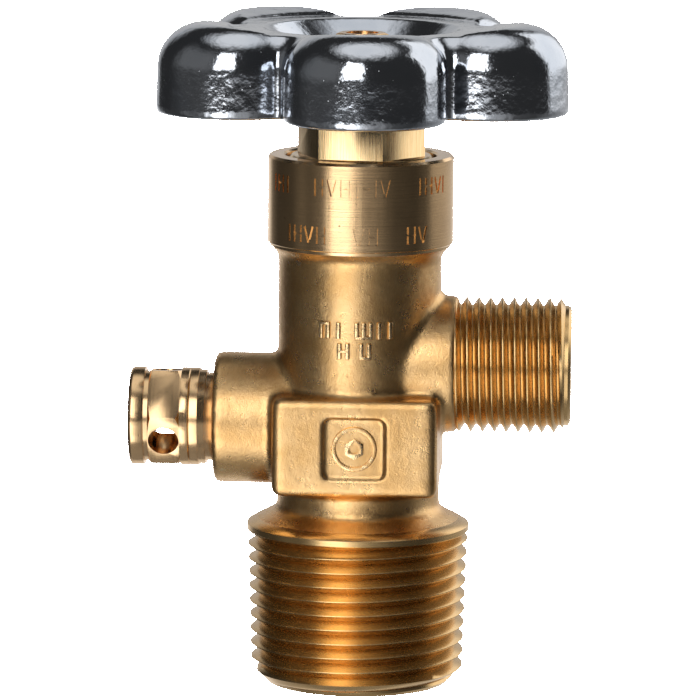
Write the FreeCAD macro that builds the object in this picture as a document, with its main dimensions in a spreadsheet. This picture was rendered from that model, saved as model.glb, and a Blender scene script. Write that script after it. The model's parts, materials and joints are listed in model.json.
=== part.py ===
import FreeCAD, Part
import Sketcher

import math
import os
import re

# Gas cylinder valve with a five-lobed handwheel, a side outlet and a safety relief plug.
# Millimetres. Origin: centre of the inlet face. +Z: the valve's axis. +X: the outlet.

doc = FreeCAD.newDocument("cylinder_valve")
V = FreeCAD.Vector

# ---------------------------------------------------------------- driving dimensions

SIZES = {
    # tapered inlet thread, 11.5 turns to the inch, 1 in 16 on diameter
    "inlet_pitch": 2.2087,
    "inlet_crest_radius": 16.3,
    "inlet_thread_depth": 1.767,
    "inlet_taper_angle": 1.7899,
    "inlet_crest_flat": 0.12,
    "inlet_face_radius": 14.0,
    "inlet_first_crest": 1.42,
    # forged body
    "shoulder_base": 23.7,
    "shoulder_land": 1.1,
    "shoulder_radius": 17.15,
    "shoulder_slope_height": 2.4,
    "neck_radius": 12.55,
    "waist_height": 3.5,
    "block_height": 15.2,
    "block_half_width": 12.65,
    "block_half_depth": 14.0,
    "block_round": 1.2,
    "panel_width": 9.8,
    "panel_height": 9.5,
    "panel_depth": 0.5,
    "collar_above_outlet": 18.9,
    "collar_radius": 14.28,
    "collar_height": 13.4,
    "collar_chamfer": 0.35,
    "collar_blend": 2.5,
    # outlet, 14 turns to the inch
    "outlet_above_block": 3.7,
    "outlet_boss_radius": 10.55,
    "outlet_boss_end": 15.4,
    "outlet_face_end": 32.6,
    "outlet_pitch": 1.8143,
    "outlet_crest_radius": 10.43,
    "outlet_thread_depth": 1.18,
    "outlet_crest_flat": 0.227,
    "outlet_nose_length": 1.0,
    "outlet_bore_radius": 3.2,
    # relief port
    "relief_above_block_base": 10.05,
    "relief_boss_radius": 10.1,
    "relief_boss_end": 22.2,
    "relief_boss_round": 1.0,
    "relief_port_radius": 2.0,
    "relief_socket_radius": 5.4,
    "relief_socket_depth": 8.2,
    # passages along the axis
    "inlet_bore_radius": 4.5,
    "orifice_length": 3.2,
    "mouth_chamfer": 0.8,
    "orifice_radius": 2.6,
    "chamber_sump": 0.2,
    "seat_lip_height": 0.8,
    "seat_lip_wall": 0.8,
    "chamber_radius": 7.8,
    "drive_bore_length": 12.5,
    "drive_bore_step": 0.4,
    "stem_collar_room": 5.1,
    "bonnet_thread_radius": 9.45,
    "counterbore_depth": 2.9,
    "counterbore_gap": 0.3,
    # bonnet
    "bonnet_flange_radius": 11.3,
    "bonnet_flange_height": 2.8,
    "bonnet_flange_chamfer": 0.7,
    "bonnet_flats": 17.2,
    "bonnet_hex_height": 8.6,
    "bonnet_turn": 7.9,
    "gasket_height": 1.4,
    # stem
    "stem_radius": 4.0,
    "stem_collar_gap": 1.2,
    "stem_collar_height": 2.0,
    "thrust_washer_height": 0.8,
    "tang_width": 10.0,
    "tang_thickness": 3.0,
    "tang_length": 7.9,
    "stem_square": 5.6,
    "stem_thread_radius": 2.5,
    "stem_end_sunk": 0.4,
    "groove_above_bonnet": 3.0,
    "groove_radius": 2.6,
    "ring_height": 2.0,
    "ring_round_share": 0.45,
    "backup_height": 1.0,
    # lower spindle and its soft seat
    "retainer_wall": 1.4,
    "spindle_sunk": 0.5,
    "spindle_slot_depth": 7.4,
    "seat_insert_radius": 4.0,
    "seat_insert_height": 2.2,
    "seat_insert_stand": 0.5,
    "retainer_height": 0.9,
    # handwheel
    "wheel_overlap": 1.6,
    "wheel_height": 13.7,
    "lobe_radius": 12.1,
    "lobe_centre_radius": 19.8,
    "valley_round": 1.2,
    "rim_round": 6.4,
    "rim_base_round": 0.7,
    "crown_radius": 24.6,
    "crown_fall": 0.8,
    "track_radius": 20.4,
    "track_depth": 1.2,
    "dish_radius": 14.9,
    "dish_floor_radius": 11.5,
    "dish_depth": 4.2,
    "wheel_skin": 2.8,
    "hub_radius": 7.0,
    "hub_lift": 4.8,
    "wheel_turn": 4.2,
    "hollow_radius": 18.0,
    "lobe_hollow_radius": 6.6,
    "lobe_hollow_centre": 22.4,
    # small pieces on the stem
    "seat_washer_height": 0.6,
    "seat_washer_radius": 6.6,
    "spring_wire_radius": 0.42,
    "spring_turns": 2.0,
    "wheel_washer_height": 0.7,
    "wheel_washer_radius": 4.9,
    "nut_flats": 7.0,
    "nut_height": 1.5,
    # relief plug and what it clamps
    "plug_shank_length": 6.6,
    "plug_neck_radius": 6.8,
    "plug_neck_length": 1.2,
    "plug_step_radius": 7.3,
    "plug_step_length": 1.1,
    "plug_flange_radius": 7.6,
    "plug_flange_length": 2.7,
    "plug_line_depth": 0.15,
    "plug_flats": 14.29,
    "plug_hex_length": 4.95,
    "plug_hex_chamfer": 0.55,
    "plug_tail_radius": 6.95,
    "plug_tail_length": 0.75,
    "plug_disc_length": 2.3,
    "plug_disc_round": 0.7,
    "plug_turn": 24.0,
    "vent_radius": 2.35,
    "vent_bore_radius": 2.7,
    "disc_thickness": 0.2,
    "disc_ring_height": 0.7,
    # fits
    "running_gap": 0.05,
    "free_gap": 0.15,
}

# Heights and radii that follow from a neighbour, so that pieces stay seated when a size changes.
CHAINED = {
    "block_base": "shoulder_base + shoulder_land + shoulder_slope_height + waist_height",
    "outlet_height": "block_base + block_height + outlet_above_block",
    "relief_height": "block_base + relief_above_block_base",
    "collar_base": "outlet_height + collar_above_outlet",
    "collar_top": "collar_base + collar_height",
    "chamber_floor": "outlet_height - outlet_bore_radius - chamber_sump",
    "inlet_bore_top": "chamber_floor - orifice_length",
    "drive_bore_base": "outlet_height + outlet_bore_radius + chamber_sump",
    "drive_bore_top": "drive_bore_base + drive_bore_length",
    "drive_bore_radius": "chamber_radius - drive_bore_step",
    "gasket_shelf": "drive_bore_top + stem_collar_room",
    "gasket_inner_radius": "chamber_radius + free_gap",
    "bonnet_flange_base": "collar_top - counterbore_depth",
    "counterbore_radius": "bonnet_flange_radius + counterbore_gap",
    "bonnet_top": "bonnet_flange_base + bonnet_flange_height + bonnet_hex_height",
    "stem_collar_radius": "chamber_radius - stem_collar_gap",
    "groove_base": "gasket_shelf + gasket_height + groove_above_bonnet",
    "spindle_top": "drive_bore_top - spindle_sunk",
    "spindle_nose_radius": "seat_insert_radius + retainer_wall",
    "wheel_base": "bonnet_top - wheel_overlap",
    "hub_base": "wheel_base + hub_lift",
    "dish_floor": "wheel_base + wheel_height - dish_depth",
    "stem_end": "dish_floor + wheel_washer_height + nut_height - stem_end_sunk",
    "spring_base_radius": "stem_radius + free_gap + running_gap + spring_wire_radius",
}

LOBES = 5
VENTS = 3

sizes = doc.addObject("Spreadsheet::Sheet", "sizes")
for row, (alias, number) in enumerate(SIZES.items(), start=1):
    sizes.set("A%d" % row, alias.replace("_", " "))
    sizes.set("B%d" % row, "%g" % number)
    sizes.setAlias("B%d" % row, alias)
doc.recompute()


def point_at_sheet(match):
    """A chained name opened out, or a size name pointing at the sheet."""
    name = match.group(1)
    if name in CHAINED:
        return "(" + bound(CHAINED[name]) + ")"
    return "sizes." + name


def bound(expression):
    """The expression with every size name pointing at the sheet."""
    return re.sub(r"\b([a-z]+(?:_[a-z0-9]+)+)\b", point_at_sheet, str(expression))


def value(expression):
    """What the expression comes to, in millimetres or degrees."""
    return float(sizes.evalExpression(bound(expression)))


# ---------------------------------------------------------------- how sketches and features are made

HEX_WORDS = ["%s / sqrt(3) * cos(%d deg)", "%s / sqrt(3) * sin(%d deg)"]


def hexagon(flats):
    """Corners of a hexagon that measures flats across its flats."""
    return [tuple(word % (flats, 60 * corner) for word in HEX_WORDS) for corner in range(6)]


def rectangle(left, low, right, high):
    """Corners of a rectangle from its sides."""
    return [(left, low), (right, low), (right, high), (left, high)]


def new_body(label):
    """An empty PartDesign body."""
    body = doc.addObject("PartDesign::Body", label)
    body.Label = label
    return body


def new_sketch(body, name, plane, lift="0", shift="0"):
    """A sketch on one of the body's planes, lifted off it, with its origin shifted up the sheet."""
    sketch = body.newObject("Sketcher::SketchObject", name)
    planes = [feature for feature in body.Origin.OriginFeatures if feature.Role == plane]
    sketch.AttachmentSupport = [(planes[0], "")]
    sketch.MapMode = "FlatFace"
    sketch.setExpression("AttachmentOffset.Base.z", bound(lift))
    sketch.setExpression("AttachmentOffset.Base.y", bound(shift))
    return sketch


def tie(sketch, kind, element, point, expression):
    """Holds one coordinate of a sketch point, from the sketch's origin, at an expression."""
    constraint = Sketcher.Constraint(kind, -1, 1, element, point, value(expression))
    index = sketch.addConstraint(constraint)
    sketch.setExpression("Constraints[%d]" % index, bound(expression))


def add_loop(sketch, corners):
    """A closed run of straight lines, each corner tied to the sheet."""
    points = [V(value(x), value(y), 0) for x, y in corners]
    first = sketch.GeometryCount
    count = len(points)
    for index in range(count):
        line = Part.LineSegment(points[index], points[(index + 1) % count])
        sketch.addGeometry(line, False)
    for index in range(count):
        here = first + index
        after = first + (index + 1) % count
        sketch.addConstraint(Sketcher.Constraint("Coincident", here, 2, after, 1))
    for index, (x, y) in enumerate(corners):
        tie(sketch, "DistanceX", first + index, 1, x)
        tie(sketch, "DistanceY", first + index, 1, y)


def add_circle(sketch, x, y, radius):
    """A circle tied to the sheet."""
    centre = V(value(x), value(y), 0)
    index = sketch.addGeometry(Part.Circle(centre, V(0, 0, 1), value(radius)), False)
    tie(sketch, "DistanceX", index, 3, x)
    tie(sketch, "DistanceY", index, 3, y)
    place = sketch.addConstraint(Sketcher.Constraint("Radius", index, value(radius)))
    sketch.setExpression("Constraints[%d]" % place, bound(radius))


def turn(body, name, corners, cut=False, axis="V_Axis", shift="0"):
    """Turns an outline of (x, height) corners, drawn on the XZ plane, about an axis of its sketch."""
    before = body.Shape.Volume if cut else 0
    sketch = new_sketch(body, name + "_outline", "XZ_Plane", shift=shift)
    add_loop(sketch, corners)
    kind = "PartDesign::Groove" if cut else "PartDesign::Revolution"
    feature = body.newObject(kind, name)
    feature.Profile = sketch
    feature.ReferenceAxis = (sketch, [axis])
    feature.Angle = 360
    doc.recompute()
    if cut and not body.Shape.Volume < before:
        raise ValueError(name + " cuts nothing")
    return feature


def pad(body, name, sketch, length, middle=False):
    """Pads a sketch by a length."""
    feature = body.newObject("PartDesign::Pad", name)
    feature.Profile = sketch
    feature.setExpression("Length", bound(length))
    feature.Midplane = middle
    doc.recompute()
    return feature


def pocket(body, name, sketch, length, upward=True):
    """Cuts a sketch through a length, up or down its own normal."""
    before = body.Shape.Volume
    feature = body.newObject("PartDesign::Pocket", name)
    feature.Profile = sketch
    feature.setExpression("Length", bound(length))
    feature.Reversed = upward
    doc.recompute()
    if not body.Shape.Volume < before:
        raise ValueError(name + " cuts nothing")
    return feature


def cut_hexagon(body, name, flats, base, height):
    """Leaves a hexagon where the body is round, from base over height."""
    sketch = new_sketch(body, name + "_outline", "XY_Plane", lift=base)
    add_loop(sketch, hexagon(flats))
    add_circle(sketch, "0", "0", flats)
    return pocket(body, name, sketch, height)


def round_edges(body, name, radius, wanted):
    """Rounds the edges of the body's shape that the test wants."""
    before = body.Tip
    edges = ["Edge%d" % number for number, edge in enumerate(before.Shape.Edges, 1) if wanted(edge)]
    feature = body.newObject("PartDesign::Fillet", name)
    feature.Base = (before, edges)
    feature.setExpression("Radius", bound(radius))
    doc.recompute()
    return feature


def repeat_round(body, name, originals, count):
    """Repeats features evenly about the body's Z axis."""
    axes = [feature for feature in body.Origin.OriginFeatures if feature.Role == "Z_Axis"]
    feature = body.newObject("PartDesign::PolarPattern", name)
    feature.Originals = originals
    feature.Axis = (axes[0], [""])
    feature.Angle = 360
    feature.Occurrences = count
    body.Tip = feature
    doc.recompute()
    return feature


def turned(label, corners):
    """A body turned about Z from (radius, height) corners."""
    body = new_body(label)
    turn(body, label + "_turned", corners)
    return body


def ring(label, inner, outer, base, height):
    """A plain ring: a washer, a gasket or a bush."""
    top = "%s + %s" % (base, height)
    return turned(label, rectangle(inner, base, outer, top))


def thread_corners(crest, depth, flat, pitch, first, count, lean="0"):
    """Corners of count teeth with 60 degree flanks, from first, whose radius grows by lean degrees."""
    root_half = "(%s / 2 + %s * tan(30 deg))" % (flat, depth)
    corners = []
    for tooth in range(count):
        middle = "(%s + %d * %s)" % (first, tooth, pitch)
        top = "%s + %s * tan(%s * 1 deg)" % (crest, middle, lean)
        corners.append((top + " - " + depth, middle + " - " + root_half))
        corners.append((top, "%s - %s / 2" % (middle, flat)))
        corners.append((top, "%s + %s / 2" % (middle, flat)))
        corners.append((top + " - " + depth, middle + " + " + root_half))
    return corners


def turned_about_axis(piece, angle):
    """Turns a finished piece about the valve's axis by an angle of the sheet."""
    piece.Placement = FreeCAD.Placement(V(0, 0, 0), FreeCAD.Rotation(V(0, 0, 1), value(angle)))


# ---------------------------------------------------------------- valve body

def valve_body():
    """The forging with its machined collar, shoulder, threads and bores."""
    body = new_body("valve_body")
    land_top = "shoulder_base + shoulder_land"
    slope_top = land_top + " + shoulder_slope_height"
    flare = "(collar_radius - neck_radius)"
    room = value("shoulder_base - inlet_first_crest - inlet_pitch / 2")
    inlet_teeth = thread_corners(
        "inlet_crest_radius", "inlet_thread_depth", "inlet_crest_flat", "inlet_pitch",
        "inlet_first_crest", 1 + math.floor(room / value("inlet_pitch")), "inlet_taper_angle")
    root_at_shoulder = (
        "inlet_crest_radius - inlet_thread_depth + shoulder_base * tan(inlet_taper_angle * 1 deg)")
    turn(body, "spine", [
        ("0", "0"),
        ("inlet_face_radius", "0"),
    ] + inlet_teeth + [
        (root_at_shoulder, "shoulder_base"),
        ("shoulder_radius", "shoulder_base"),
        ("shoulder_radius", land_top),
        ("neck_radius", slope_top),
        ("neck_radius", "collar_base - " + flare),
        ("collar_radius", "collar_base"),
        ("collar_radius", "collar_top - collar_chamfer"),
        ("collar_radius - collar_chamfer", "collar_top"),
        ("0", "collar_top"),
    ])
    flare_start = value("collar_base - " + flare)
    round_edges(body, "collar_blend_round", "collar_blend", lambda edge: (
        abs(edge.BoundBox.ZMin - flare_start) < 0.01 and edge.BoundBox.ZLength < 0.01))

    block = new_sketch(body, "block_outline", "XZ_Plane")
    block_top = "block_base + block_height"
    add_loop(block, rectangle("-block_half_width", "block_base", "block_half_width", block_top))
    pad(body, "block", block, "2 * block_half_depth", middle=True)
    half_width = value("block_half_width")
    half_depth = value("block_half_depth")

    def outer_edge(edge):
        """True for the straight edges round the block's front and back faces."""
        box = edge.BoundBox
        on_face = abs(abs(box.YMin) - half_depth) < 0.01 and box.YLength < 0.01
        corner = abs(abs(box.XMin) - half_width) < 0.01 and box.XLength < 0.01
        return on_face or (corner and box.ZLength < 0.01 and abs(box.YMax) > half_depth - 0.01)

    round_edges(body, "block_rounds", "block_round", outer_edge)

    first = "(outlet_boss_end + outlet_pitch / 2)"
    room = value("outlet_face_end - outlet_nose_length - outlet_pitch / 4 - " + first)
    outlet_teeth = thread_corners(
        "outlet_crest_radius", "outlet_thread_depth", "outlet_crest_flat", "outlet_pitch",
        first, 1 + math.floor(room / value("outlet_pitch")))
    outlet_root = "outlet_crest_radius - outlet_thread_depth"
    turn(body, "outlet_boss", [
        ("0", "0"),
        ("0", "outlet_boss_radius"),
        ("outlet_boss_end", "outlet_boss_radius"),
        ("outlet_boss_end", outlet_root),
    ] + [(along, radius) for radius, along in outlet_teeth] + [
        ("outlet_face_end - mouth_chamfer / 2", outlet_root),
        ("outlet_face_end", outlet_root + " - mouth_chamfer / 2"),
        ("outlet_face_end", "0"),
    ], axis="H_Axis", shift="outlet_height")
    turn(body, "relief_boss", [
        ("0", "0"),
        ("-relief_boss_end", "0"),
        ("-relief_boss_end", "relief_boss_radius"),
        ("0", "relief_boss_radius"),
    ], axis="H_Axis", shift="relief_height")
    boss_end = -value("relief_boss_end")
    round_edges(body, "relief_boss_edge", "relief_boss_round", lambda edge: (
        abs(edge.BoundBox.XMin - boss_end) < 0.01 and edge.BoundBox.XLength < 0.01))

    panel = new_sketch(body, "panel_outline", "XZ_Plane", lift="block_half_depth - panel_depth")
    middle = "(block_base + block_height / 2)"
    low = middle + " - panel_height / 2"
    high = middle + " + panel_height / 2"
    add_loop(panel, rectangle("-panel_width / 2", low, "panel_width / 2", high))
    pocket(body, "panel", panel, "panel_depth + free_gap")

    lip_top = "chamber_floor + seat_lip_height"
    lip_outer = "orifice_radius + seat_lip_wall"
    turn(body, "stem_bore", [
        ("0", "chamber_floor"),
        ("0", "collar_top + 1"),
        ("counterbore_radius", "collar_top + 1"),
        ("counterbore_radius", "bonnet_flange_base"),
        ("bonnet_thread_radius", "bonnet_flange_base"),
        ("bonnet_thread_radius", "gasket_shelf"),
        ("chamber_radius", "gasket_shelf"),
        ("chamber_radius", "drive_bore_top"),
        ("drive_bore_radius", "drive_bore_top"),
        ("drive_bore_radius", "drive_bore_base"),
        ("chamber_radius", "drive_bore_base"),
        ("chamber_radius", "chamber_floor"),
        (lip_outer, "chamber_floor"),
        (lip_outer, lip_top),
        ("orifice_radius", lip_top),
        ("orifice_radius", "chamber_floor"),
    ], cut=True)
    bore_step = "(inlet_bore_radius - orifice_radius)"
    turn(body, "inlet_bore", [
        ("0", "-1"),
        ("inlet_bore_radius + mouth_chamfer", "-1"),
        ("inlet_bore_radius + mouth_chamfer", "0"),
        ("inlet_bore_radius", "mouth_chamfer"),
        ("inlet_bore_radius", "inlet_bore_top"),
        ("orifice_radius", "inlet_bore_top + " + bore_step + " / 2"),
        ("orifice_radius", lip_top),
        ("0", lip_top),
    ], cut=True)
    turn(body, "outlet_bore", [
        ("outlet_face_end + 1", "0"),
        ("outlet_face_end + 1", "outlet_bore_radius + mouth_chamfer"),
        ("outlet_face_end", "outlet_bore_radius + mouth_chamfer"),
        ("outlet_face_end - mouth_chamfer", "outlet_bore_radius"),
        ("drive_bore_radius - 1", "outlet_bore_radius"),
        ("drive_bore_radius - 1", "0"),
    ], cut=True, axis="H_Axis", shift="outlet_height")
    turn(body, "relief_bore", [
        ("-inlet_bore_radius / 2", "0"),
        ("-relief_boss_end - 1", "0"),
        ("-relief_boss_end - 1", "relief_socket_radius"),
        ("-relief_boss_end + relief_socket_depth", "relief_socket_radius"),
        ("-relief_boss_end + relief_socket_depth", "relief_port_radius"),
        ("-inlet_bore_radius / 2", "relief_port_radius"),
    ], cut=True, axis="H_Axis", shift="relief_height")


# ---------------------------------------------------------------- bonnet and its gasket

def bonnet():
    """The hexagon bonnet that screws into the collar and holds the stem down."""
    flange_top = "bonnet_flange_base + bonnet_flange_height"
    corner = "bonnet_flats / sqrt(3)"
    flat = "bonnet_flats / 2"
    bevel = "(" + corner + " - " + flat + ") / 2"
    bore = "stem_radius + running_gap"
    base = "gasket_shelf + gasket_height"
    body = turned("bonnet", [
        (bore, base),
        ("bonnet_thread_radius", base),
        ("bonnet_thread_radius", "bonnet_flange_base"),
        ("bonnet_flange_radius", "bonnet_flange_base"),
        ("bonnet_flange_radius", flange_top + " - bonnet_flange_chamfer"),
        ("bonnet_flange_radius - bonnet_flange_chamfer", flange_top),
        (corner, flange_top),
        (corner, "bonnet_top - " + bevel),
        (flat, "bonnet_top"),
        (bore, "bonnet_top"),
    ])
    cut_hexagon(body, "bonnet_hexagon", "bonnet_flats", flange_top, "bonnet_top - bonnet_flange_base")
    turned_about_axis(body, "-bonnet_turn")


def bonnet_gasket():
    """The soft ring that the bonnet crushes onto its shelf."""
    outer = "bonnet_thread_radius - free_gap"
    return ring("bonnet_gasket", "gasket_inner_radius", outer, "gasket_shelf", "gasket_height")


# ---------------------------------------------------------------- stem and its seals

def upper_stem():
    """The stem that turns in the bonnet: tang, thrust collar, seal groove, square and thread."""
    body = new_body("upper_stem")
    collar_top = "gasket_shelf + gasket_height - thrust_washer_height"
    collar_base = collar_top + " - stem_collar_height"
    groove_top = "groove_base + ring_height + 2 * backup_height + 4 * running_gap"
    turn(body, "stem_turned", [
        ("0", collar_base),
        ("stem_collar_radius", collar_base),
        ("stem_collar_radius", collar_top),
        ("stem_radius", collar_top),
        ("stem_radius", "groove_base"),
        ("groove_radius", "groove_base"),
        ("groove_radius", groove_top),
        ("stem_radius", groove_top),
        ("stem_radius", "dish_floor"),
        ("stem_thread_radius", "dish_floor"),
        ("stem_thread_radius", "stem_end"),
        ("0", "stem_end"),
    ])
    tang = new_sketch(body, "tang_outline", "XY_Plane", lift=collar_base + " - tang_length")
    half = "tang_width / 2"
    side = "tang_thickness / 2"
    add_loop(tang, rectangle("-" + half, "-" + side, half, side))
    pad(body, "tang", tang, "tang_length")
    flats = new_sketch(body, "square_outline", "XY_Plane", lift="hub_base")
    across = "stem_square / 2"
    add_loop(flats, rectangle("-" + across, "-" + across, across, across))
    add_circle(flats, "0", "0", "stem_radius + 1")
    pocket(body, "square", flats, "dish_floor - hub_base")
    turned_about_axis(body, "wheel_turn")


def stem_seals():
    """The O-ring and its two backup rings, which fill the stem's groove."""
    outer = "stem_radius"
    low = "groove_base + running_gap"
    ring_base = low + " + backup_height + running_gap"
    high = ring_base + " + ring_height + running_gap"
    ring("backup_ring_lower", "groove_radius", outer, low, "backup_height")
    ring("backup_ring_upper", "groove_radius", outer, high, "backup_height")
    seal = ring("stem_o_ring", "groove_radius", outer, ring_base, "ring_height")
    round_edges(seal, "stem_o_ring_round", "(stem_radius - groove_radius) * ring_round_share", lambda edge: True)


def stem_thrust_washer():
    """The slippery washer between the stem's collar and the bonnet."""
    base = "gasket_shelf + gasket_height - thrust_washer_height + running_gap / 2"
    height = "thrust_washer_height - running_gap"
    ring("stem_thrust_washer", "stem_radius + free_gap", "stem_collar_radius", base, height)


# ---------------------------------------------------------------- lower spindle and seat

def lower_spindle():
    """The screwed spindle that carries the seat. The stem's tang turns it in its slot."""
    nose_base = "chamber_floor + seat_lip_height + seat_insert_stand + retainer_height"
    recess_top = "chamber_floor + seat_lip_height + seat_insert_height"
    outer = "drive_bore_radius - running_gap"
    body = turned("lower_spindle", [
        ("0", recess_top),
        ("seat_insert_radius", recess_top),
        ("seat_insert_radius", nose_base),
        ("spindle_nose_radius", nose_base),
        ("spindle_nose_radius", "drive_bore_base"),
        (outer, "drive_bore_base + drive_bore_radius - spindle_nose_radius"),
        (outer, "spindle_top"),
        ("0", "spindle_top"),
    ])
    slot = new_sketch(body, "slot_outline", "XY_Plane", lift="spindle_top - spindle_slot_depth")
    side = "(tang_thickness / 2 + running_gap)"
    add_loop(slot, rectangle("-drive_bore_radius", "-" + side, "drive_bore_radius", side))
    pocket(body, "slot", slot, "spindle_slot_depth")
    turned_about_axis(body, "wheel_turn")


def soft_seat():
    """The nylon disc that shuts the orifice, and the ring that holds it in the spindle."""
    lip_top = "chamber_floor + seat_lip_height"
    turned("seat_insert", rectangle(
        "0", lip_top, "seat_insert_radius", lip_top + " + seat_insert_height"))
    ring("seat_retainer", "seat_insert_radius", "spindle_nose_radius",
         lip_top + " + seat_insert_stand", "retainer_height")


# ---------------------------------------------------------------- handwheel

def handwheel():
    """The die-cast wheel: five crowned lobes, a sunk track, a dish and a hollow underside."""
    body = new_body("handwheel")
    valley_radius = "lobe_centre_radius * cos(%g deg)" % (180 / LOBES)
    lobe = new_sketch(body, "lobe_outline", "XY_Plane", lift="wheel_base")
    add_circle(lobe, "0", "-lobe_centre_radius", "lobe_radius")
    lobe_pad = pad(body, "lobe", lobe, "wheel_height")
    repeat_round(body, "lobes", [lobe_pad], LOBES)
    middle = new_sketch(body, "middle_outline", "XY_Plane", lift="wheel_base")
    add_circle(middle, "0", "0", valley_radius)
    pad(body, "middle", middle, "wheel_height")
    low = value("wheel_base")
    top = value("wheel_base + wheel_height")
    round_edges(body, "valleys", "valley_round", lambda edge: (
        edge.BoundBox.ZLength > 1 and math.hypot(edge.BoundBox.Center.x, edge.BoundBox.Center.y)
        > value(valley_radius)))
    round_edges(body, "rim", "rim_round", lambda edge: (
        edge.BoundBox.ZMin > top - 0.01 and edge.BoundBox.ZLength < 0.01))
    round_edges(body, "rim_base", "rim_base_round", lambda edge: edge.BoundBox.ZMax < low + 0.01)
    wheel_top = "wheel_base + wheel_height"
    turn(body, "track_and_dish", [
        ("0", "dish_floor"),
        ("dish_floor_radius", "dish_floor"),
        ("dish_radius", wheel_top + " - track_depth"),
        ("track_radius", wheel_top + " - track_depth"),
        ("track_radius", wheel_top + " - crown_fall"),
        ("crown_radius", wheel_top),
        ("crown_radius", wheel_top + " + 1"),
        ("0", wheel_top + " + 1"),
    ], cut=True)
    ceiling = "dish_floor - wheel_skin"
    turn(body, "hollow", [
        ("0", "wheel_base - 1"),
        ("hollow_radius", "wheel_base - 1"),
        ("hollow_radius", ceiling),
        ("hub_radius", ceiling),
        ("hub_radius", "hub_base"),
        ("0", "hub_base"),
    ], cut=True)
    pit = new_sketch(body, "lobe_hollow_outline", "XY_Plane", lift="wheel_base")
    add_circle(pit, "0", "-lobe_hollow_centre", "lobe_hollow_radius")
    pit_cut = pocket(body, "lobe_hollow", pit, "wheel_height - track_depth - wheel_skin")
    repeat_round(body, "lobe_hollows", [pit_cut], LOBES)
    eye = new_sketch(body, "eye_outline", "XY_Plane", lift="hub_base")
    across = "stem_square / 2"
    add_loop(eye, rectangle("-" + across, "-" + across, across, across))
    pocket(body, "eye", eye, "wheel_height")
    turned_about_axis(body, "wheel_turn")


def coil_spring(seat):
    """The cone-shaped spring that stands on seat, narrow end down, and pushes the wheel up."""
    wire = value("spring_wire_radius")
    narrow = value("spring_base_radius")
    base = value(seat) + wire
    rise = value("hub_base") - wire - base
    lean = math.atan((value("hub_radius") - wire - narrow) / rise)
    turns = value("spring_turns")
    helix = Part.makeHelix(
        rise / turns / math.cos(lean), rise / math.cos(lean), narrow, math.degrees(lean))
    section = Part.Wire(Part.makeCircle(wire, V(narrow, 0, 0), V(0, 1, 0)))
    spring = doc.addObject("Part::Feature", "handwheel_spring")
    spring.Shape = Part.Wire(helix.Edges).makePipeShell([section], True, True)
    spring.Placement = FreeCAD.Placement(V(0, 0, base), FreeCAD.Rotation())


def wheel_fixings():
    """What holds the wheel on the stem: seat washer, spring, washer and nut."""
    seat_top = "bonnet_top + seat_washer_height"
    ring("spring_seat_washer", "stem_radius + free_gap", "seat_washer_radius",
         "bonnet_top", "seat_washer_height")
    coil_spring(seat_top + " + running_gap")
    ring("handwheel_washer", "stem_thread_radius", "wheel_washer_radius",
         "dish_floor", "wheel_washer_height")
    nut_base = "dish_floor + wheel_washer_height"
    corner = "nut_flats / sqrt(3)"
    flat = "nut_flats / 2"
    bevel = "(" + corner + " - " + flat + ") / 2"
    nut = turned("handwheel_nut", [
        ("stem_thread_radius", nut_base),
        (corner, nut_base),
        (corner, nut_base + " + nut_height - " + bevel),
        (flat, nut_base + " + nut_height"),
        ("stem_thread_radius", nut_base + " + nut_height"),
    ])
    cut_hexagon(nut, "nut_hexagon", "nut_flats", nut_base, "2 * nut_height")


# ---------------------------------------------------------------- relief plug

def on_relief_axis(piece):
    """Places a piece that was turned about Z, with its foot at the boss's face, on the relief axis."""
    outward = FreeCAD.Rotation(V(0, 1, 0), -90)
    about_itself = FreeCAD.Rotation(V(0, 0, 1), -value("plug_turn"))
    foot = V(-value("relief_boss_end"), 0, value("relief_height"))
    piece.Placement = FreeCAD.Placement(foot, outward * about_itself)


def relief_plug():
    """The vented hexagon plug that clamps the rupture disc."""
    step = "plug_neck_length + plug_step_length"
    flange = step + " + plug_flange_length"
    hexagon_end = flange + " + plug_hex_length"
    tail = hexagon_end + " + plug_tail_length"
    end = tail + " + plug_disc_length"
    line = step + " + plug_flange_length / 2"
    vent_end = hexagon_end + " - plug_hex_chamfer"
    corner = "plug_flats / sqrt(3)"
    rim = "plug_flats / 2"
    body = turned("relief_plug", [
        ("0", vent_end),
        ("vent_bore_radius", vent_end),
        ("vent_bore_radius", "-plug_shank_length"),
        ("relief_socket_radius", "-plug_shank_length"),
        ("relief_socket_radius", "0"),
        ("plug_neck_radius", "0"),
        ("plug_neck_radius", "plug_neck_length"),
        ("plug_step_radius", "plug_neck_length"),
        ("plug_step_radius", step),
        ("plug_flange_radius", step),
        ("plug_flange_radius", line + " - plug_line_depth"),
        ("plug_flange_radius - plug_line_depth", line),
        ("plug_flange_radius", line + " + plug_line_depth"),
        ("plug_flange_radius", flange),
        (corner, flange + " + plug_hex_chamfer"),
        (corner, hexagon_end + " - plug_hex_chamfer"),
        (rim, hexagon_end),
        ("plug_tail_radius", hexagon_end),
        ("plug_tail_radius", tail),
        ("plug_flange_radius", tail),
        ("plug_flange_radius", end),
        ("0", end),
    ])
    tip = value(end)
    round_edges(body, "plug_disc_edge", "plug_disc_round", lambda edge: (
        edge.BoundBox.ZMin > tip - 0.01 and edge.BoundBox.XLength > 1))
    cut_hexagon(body, "plug_hexagon", "plug_flats", flange, "plug_hex_length")
    vent = new_sketch(body, "vent_outline", "XZ_Plane")
    add_circle(vent, "0", flange + " + plug_hex_length / 2", "vent_radius")
    vent_cut = pocket(body, "vent", vent, "plug_flats")
    repeat_round(body, "vents", [vent_cut], VENTS)
    on_relief_axis(body)


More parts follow.
